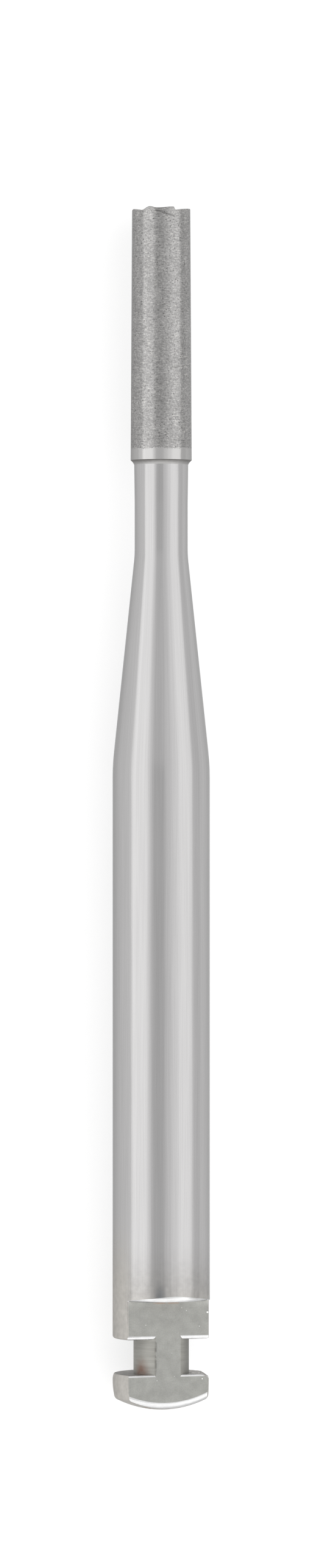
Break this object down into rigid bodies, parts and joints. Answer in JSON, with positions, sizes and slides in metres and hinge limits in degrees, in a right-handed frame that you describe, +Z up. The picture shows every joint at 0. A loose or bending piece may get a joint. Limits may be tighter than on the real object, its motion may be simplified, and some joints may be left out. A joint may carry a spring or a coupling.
{
  "type": "dental bur",
  "caption": "Latch-type dental bur: rough cylindrical working head, slim neck, tapered shoulder and a plain shank ending in a drive flat, ring groove and domed button.",
  "frame": {"origin": "on the ground under the middle of the length, with the bur lying on its shank", "axes": "+Y along the axis towards the head's tip, +Z up out of the drive flat"},
  "size_m": [0.0024, 0.029, 0.0023],
  "materials": {
    "steel": "ground and polished stainless steel, rough grey on the working head, matte on the milled flat"
  },
  "bodies": {
    "root": {"bur": "steel"}
  },
  "joints": []
}
